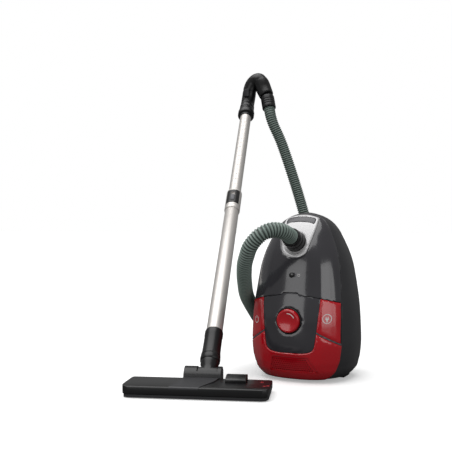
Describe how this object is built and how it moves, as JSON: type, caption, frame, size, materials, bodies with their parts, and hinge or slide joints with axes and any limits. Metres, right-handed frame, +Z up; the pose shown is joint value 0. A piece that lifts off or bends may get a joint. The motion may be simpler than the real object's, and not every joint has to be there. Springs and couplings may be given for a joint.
{
  "type": "canister vacuum cleaner",
  "caption": "Bagged canister vacuum cleaner parked on its rear end, with corrugated hose, telescopic metal wand, bent handle and tilting floor head.",
  "frame": {"origin": "middle of the rest pad's underside, on the floor that the parked cleaner stands on", "axes": "+Z up as parked, X across the canister, -Y the side of the lid and controls, +Y the side of the wheels"},
  "size_m": [0.5402, 0.9582, 0.8426],
  "materials": {
    "gloss_grey": "glossy moulded dark grey plastic",
    "matt_grey": "matt fine-textured dark grey plastic",
    "red_gloss": "glossy red plastic",
    "silver_panel": "satin silver-white painted plastic",
    "black_plastic": "black moulded plastic, fine texture",
    "head_black": "black moulded plastic of the floor head",
    "hose_grey": "grey-green corrugated plastic hose",
    "wand_metal": "satin drawn metal tube",
    "steel": "turned steel",
    "rubber": "black rubber",
    "grey_part": "plain grey plastic",
    "filter_foam": "open filter foam",
    "bag_paper": "soft layered filter paper",
    "rotor_metal": "copper windings and pressed fan",
    "board_green": "printed circuit board",
    "window": "dark clear window",
    "lint_red": "red lint-picking pile"
  },
  "bodies": {
    "canister": {"base_shell": "matt_grey", "rest_pad": "rubber", "rear_foot_left": "rubber", "rear_foot_right": "rubber", "control_panel": "gloss_grey", "knob_well": "black_plastic", "rear_bumper": "red_gloss", "exhaust_grille": "red_gloss", "bulkhead": "black_plastic", "motor_filter": "filter_foam", "dust_bag": "bag_paper", "bag_holder": "grey_part", "motor_housing": "grey_part", "motor_mount": "rubber", "reel_axle": "steel", "power_switch": "black_plastic", "control_board": "board_green", "power_spring": "steel", "rewind_spring": "steel", "exhaust_filter": "filter_foam", "cord_outlet": "black_plastic", "wheel_axle": "steel", "parking_bracket": "black_plastic", "hose_front": "hose_grey"},
    "lid": {"lid_shell": "gloss_grey", "inlet_panel": "silver_panel", "indicator_lens": "window", "inlet_seal": "rubber"},
    "latch": {"lid_latch": "matt_grey"},
    "connector": {"hose_connector": "black_plastic"},
    "knob": {"power_knob": "red_gloss"},
    "on_off_pedal": {"power_pedal": "red_gloss"},
    "cord_pedal": {"rewind_pedal": "red_gloss"},
    "brake": {"reel_brake": "grey_part"},
    "reel": {"cord_reel": "black_plastic"},
    "rotor": {"fan_rotor": "rotor_metal"},
    "wheel_left": {"rear_wheel_left": "black_plastic"},
    "wheel_right": {"rear_wheel_right": "black_plastic"},
    "fork": {"caster_fork": "black_plastic"},
    "caster": {"caster_wheel": "grey_part"},
    "handle": {"handle_grip": "black_plastic", "handle_collar": "black_plastic", "upper_tube": "wand_metal", "hose_rear": "hose_grey"},
    "cuff": {"hose_cuff": "black_plastic"},
    "slider": {"suction_slider": "grey_part"},
    "lower_wand": {"lower_tube": "wand_metal", "lock_collar": "wand_metal", "neck_tube": "black_plastic", "parking_hook": "black_plastic"},
    "button": {"lock_button": "grey_part"},
    "elbow": {"neck_elbow": "black_plastic"},
    "head": {"head_cover": "head_black", "sole_plate": "matt_grey", "lint_strip": "lint_red", "tilt_pin": "steel"},
    "pedal": {"head_pedal": "head_black"},
    "brush": {"brush_strip": "rubber"},
    "roller_left": {"sole_roller_left": "grey_part"},
    "roller_right": {"sole_roller_right": "grey_part"}
  },
  "joints": [
    {"name": "lid_hinge", "type": "hinge", "parent": "canister", "child": "lid", "pos_m": [0, -0.107, 0.19], "axis": [1, 0, 0], "range_deg": [0, 75], "deforming": ["hose_front"]},
    {"name": "latch_pull", "type": "slide", "parent": "lid", "child": "latch", "axis": [0, -1, 0], "range_m": [0, 0.004], "stiffness_N_per_m": 900},
    {"name": "connector_swivel", "type": "hinge", "parent": "lid", "child": "connector", "pos_m": [0, -0.0755, 0.317], "axis": [0, -0.9397, 0.342], "continuous": true},
    {"name": "knob_turn", "type": "hinge", "parent": "canister", "child": "knob", "pos_m": [0, -0.11, 0.14], "axis": [0, 1, 0], "range_deg": [-135, 135]},
    {"name": "power_press", "type": "slide", "parent": "canister", "child": "on_off_pedal", "axis": [0, 1, 0], "range_m": [0, 0.0025], "stiffness_N_per_m": 4000, "deforming": ["power_spring"]},
    {"name": "rewind_press", "type": "slide", "parent": "canister", "child": "cord_pedal", "axis": [0, 1, 0], "range_m": [0, 0.0025], "stiffness_N_per_m": 4000, "deforming": ["rewind_spring"]},
    {"name": "brake_release", "type": "hinge", "parent": "canister", "child": "brake", "pos_m": [0.081, -0.05, 0.118], "axis": [-1, 0, 0], "range_deg": [0, 5]},
    {"name": "reel_spin", "type": "hinge", "parent": "canister", "child": "reel", "pos_m": [0.062, 0.005, 0.118], "axis": [1, 0, 0], "continuous": true},
    {"name": "fan_spin", "type": "hinge", "parent": "canister", "child": "rotor", "pos_m": [-0.04, 0.008, 0.12], "axis": [0, 0, 1], "continuous": true},
    {"name": "wheel_left_roll", "type": "hinge", "parent": "canister", "child": "wheel_left", "pos_m": [-0.072, 0.088, 0.058], "axis": [1, 0, 0], "continuous": true},
    {"name": "wheel_right_roll", "type": "hinge", "parent": "canister", "child": "wheel_right", "pos_m": [0.072, 0.088, 0.058], "axis": [1, 0, 0], "continuous": true},
    {"name": "caster_turn", "type": "hinge", "parent": "canister", "child": "fork", "pos_m": [0, 0.091, 0.3], "axis": [0, 1, 0], "continuous": true},
    {"name": "caster_roll", "type": "hinge", "parent": "fork", "child": "caster", "pos_m": [0, 0.109, 0.29], "axis": [1, 0, 0], "continuous": true},
    {"name": "hose_swing", "type": "hinge", "parent": "canister", "child": "handle", "pos_m": [-0.13, 0.38, 0.0185], "axis": [0, 0, 1], "range_deg": [-30, 2], "deforming": ["hose_rear"]},
    {"name": "cuff_swivel", "type": "hinge", "parent": "handle", "child": "cuff", "pos_m": [-0.319, 0.533, 0.742], "axis": [0.2972, -0.3392, -0.8925], "continuous": true},
    {"name": "suction_slide", "type": "slide", "parent": "handle", "child": "slider", "axis": [0, 0, 1], "range_m": [0, 0.012]},
    {"name": "wand_telescope", "type": "slide", "parent": "handle", "child": "lower_wand", "axis": [-0.2355, 0.7122, 0.6613], "range_m": [-0.03, 0.09]},
    {"name": "lock_press", "type": "slide", "parent": "lower_wand", "child": "button", "axis": [-0.2355, 0.7122, 0.6613], "range_m": [0, 0.009], "stiffness_N_per_m": 400},
    {"name": "neck_swivel", "type": "hinge", "parent": "lower_wand", "child": "elbow", "pos_m": [-0.14978, -0.20206, 0.05181], "axis": [-0.2355, 0.7122, 0.6613], "range_deg": [-45, 45]},
    {"name": "head_tilt", "type": "hinge", "parent": "elbow", "child": "head", "pos_m": [-0.1413, -0.2277, 0.028], "axis": [0.9494, 0.314, 0], "range_deg": [-48, 30]},
    {"name": "head_pedal_rock", "type": "hinge", "parent": "head", "child": "pedal", "pos_m": [-0.06513, -0.24464, 0.026], "axis": [0.9494, 0.314, 0], "range_deg": [0, 8]},
    {"name": "brush_lift", "type": "slide", "parent": "head", "child": "brush", "axis": [0, 0, 1], "range_m": [0, 0.0025]},
    {"name": "roller_left_roll", "type": "hinge", "parent": "head", "child": "roller_left", "pos_m": [-0.24989, -0.27836, 0.007], "axis": [0.9494, 0.314, 0], "continuous": true},
    {"name": "roller_right_roll", "type": "hinge", "parent": "head", "child": "roller_right", "pos_m": [-0.04481, -0.21053, 0.007], "axis": [0.9494, 0.314, 0], "continuous": true}
  ],
  "couplings": [
    {"joint": "brush_lift", "follows": "head_pedal_rock", "m_per_rad": 0.0175},
    {"joint": "brake_release", "follows": "rewind_press", "rad_per_m": 33}
  ]
}
